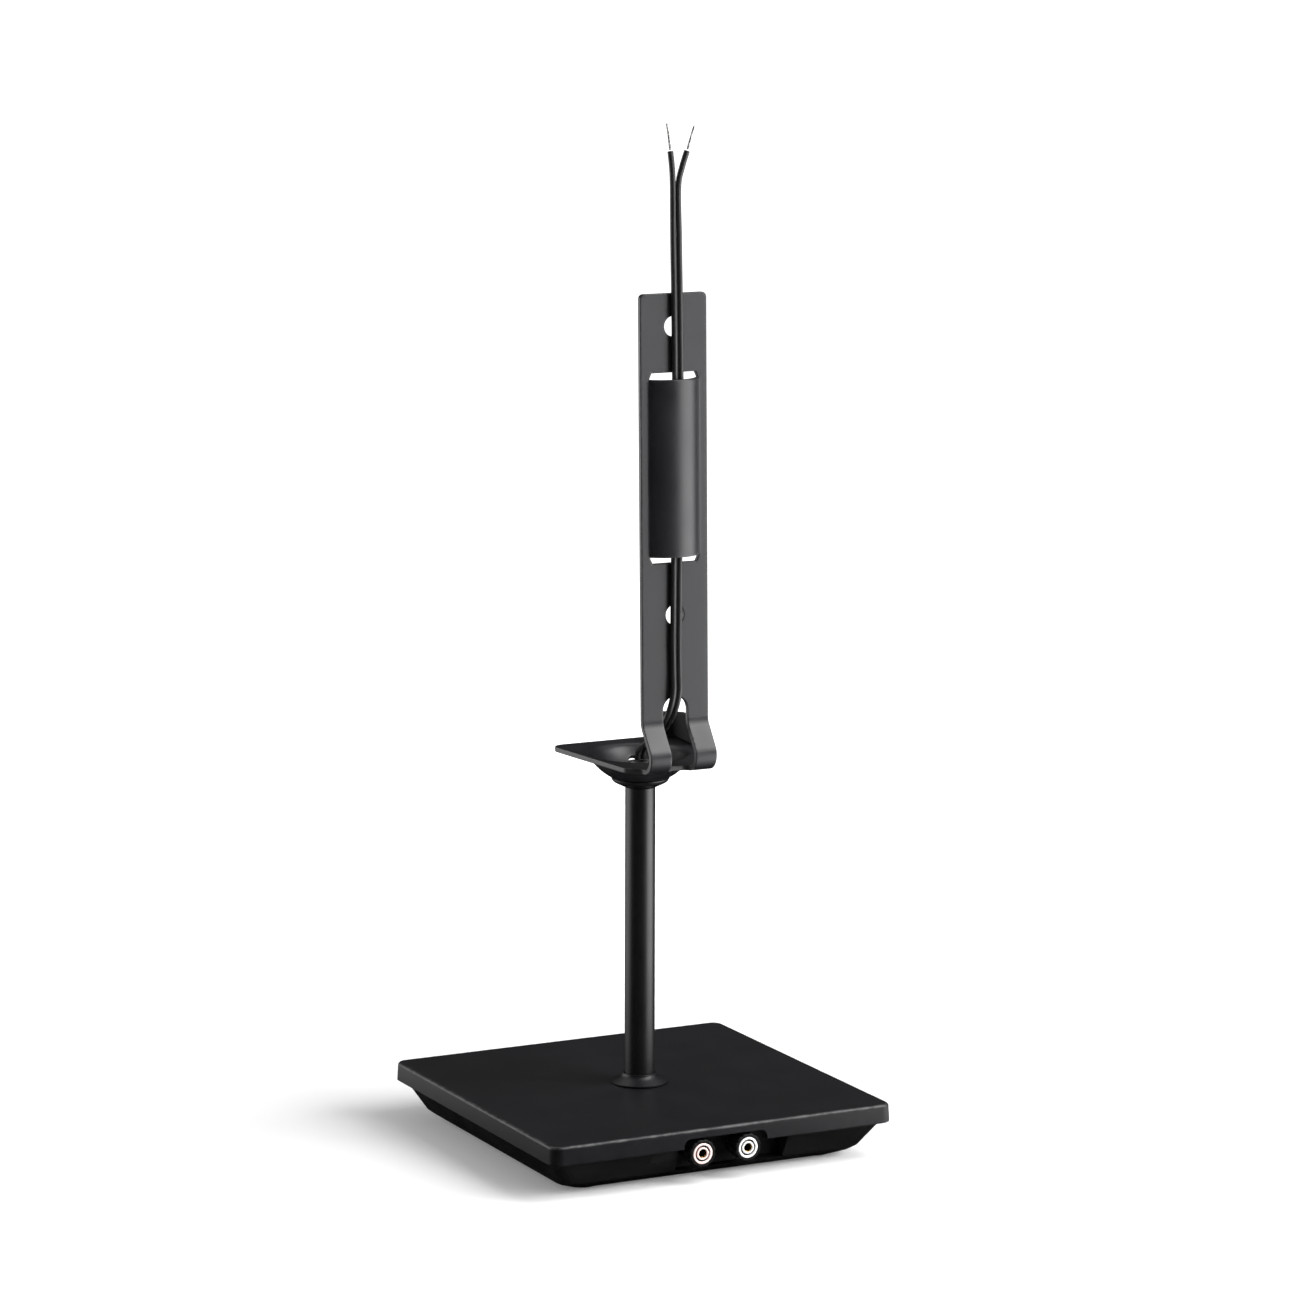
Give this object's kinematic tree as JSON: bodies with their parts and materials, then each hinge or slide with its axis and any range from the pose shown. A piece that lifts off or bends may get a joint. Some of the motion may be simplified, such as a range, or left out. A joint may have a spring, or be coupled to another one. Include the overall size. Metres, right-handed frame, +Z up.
{
  "type": "speaker stand",
  "caption": "Desk stand for a small loudspeaker: square weighted base with two wire terminals, round column, and a bent sheet bracket on a dished ball seat with a twin lead.",
  "frame": {"origin": "centre of the square footprint, on the floor plane under the rubber feet", "axes": "+Z up along the column; the wire terminals face -Y; the tray reaches towards +Y, where the speaker stands"},
  "size_m": [0.1808, 0.1808, 0.4926],
  "materials": {
    "satin_black": "satin black powder coat with a fine even grain",
    "gunmetal": "dark grey satin metallic coat",
    "moulding": "matt black moulded plastic",
    "plated_steel": "bright zinc plated steel",
    "ballast_steel": "plain dark steel",
    "rubber": "matt black rubber",
    "gold": "gold plated brass",
    "red_ring": "red plastic",
    "white_ring": "white plastic",
    "cable_jacket": "soft black PVC with a dull shine",
    "tinned_copper": "tinned copper"
  },
  "bodies": {
    "root": {"base_plate": "satin_black", "underbody": "moulding", "ballast_plate": "ballast_steel", "column_tube": "gunmetal", "column_collar": "satin_black", "lower_plug": "plated_steel", "upper_plug": "plated_steel", "column_washer": "plated_steel", "column_nut": "plated_steel", "swivel_cup": "gunmetal", "ball_nut": "plated_steel", "terminal_panel": "moulding", "rubber_foot_1": "rubber", "base_screw_1": "plated_steel", "rubber_foot_2": "rubber", "base_screw_2": "plated_steel", "rubber_foot_3": "rubber", "base_screw_3": "plated_steel", "rubber_foot_4": "rubber", "base_screw_4": "plated_steel", "terminal_left_stem": "gold", "terminal_left_collar": "moulding", "terminal_left_lug": "tinned_copper", "terminal_left_nut": "plated_steel", "inner_core_left": "cable_jacket", "terminal_right_stem": "gold", "terminal_right_collar": "moulding", "terminal_right_lug": "tinned_copper", "terminal_right_nut": "plated_steel", "inner_core_right": "cable_jacket"},
    "swivel": {"ball_washer": "plated_steel"},
    "bracket_body": {"bracket": "gunmetal", "lip_pad": "rubber", "lead_core_left": "cable_jacket", "lead_core_right": "cable_jacket", "lead_strand_left": "tinned_copper", "lead_strand_right": "tinned_copper"},
    "left_clamp": {"terminal_left_washer": "gold"},
    "left_knob": {"terminal_left_cap": "moulding", "terminal_left_ring": "red_ring", "terminal_left_bush": "red_ring"},
    "right_clamp": {"terminal_right_washer": "gold"},
    "right_knob": {"terminal_right_cap": "moulding", "terminal_right_ring": "white_ring", "terminal_right_bush": "white_ring"}
  },
  "joints": [
    {"name": "bracket_swivel", "type": "hinge", "parent": "root", "child": "swivel", "pos_m": [0, 0, 0.2042], "axis": [0, 0, 1], "range_deg": [-90, 90]},
    {"name": "bracket_tilt", "type": "hinge", "parent": "swivel", "child": "bracket_body", "pos_m": [0, 0, 0.2042], "axis": [1, 0, 0], "range_deg": [-8, 8]},
    {"name": "left_clamp_travel", "type": "slide", "parent": "root", "child": "left_clamp", "axis": [0, -1, 0], "range_m": [0, 0.0032]},
    {"name": "left_knob_turn", "type": "hinge", "parent": "left_clamp", "child": "left_knob", "pos_m": [-0.012, -0.085, 0.015], "axis": [0, -1, 0], "range_deg": [0, 1440]},
    {"name": "right_clamp_travel", "type": "slide", "parent": "root", "child": "right_clamp", "axis": [0, -1, 0], "range_m": [0, 0.0032]},
    {"name": "right_knob_turn", "type": "hinge", "parent": "right_clamp", "child": "right_knob", "pos_m": [0.012, -0.085, 0.015], "axis": [0, -1, 0], "range_deg": [0, 1440]}
  ],
  "couplings": [
    {"joint": "left_knob_turn", "follows": "left_clamp_travel", "rad_per_m": 7854},
    {"joint": "right_knob_turn", "follows": "right_clamp_travel", "rad_per_m": 7854}
  ]
}
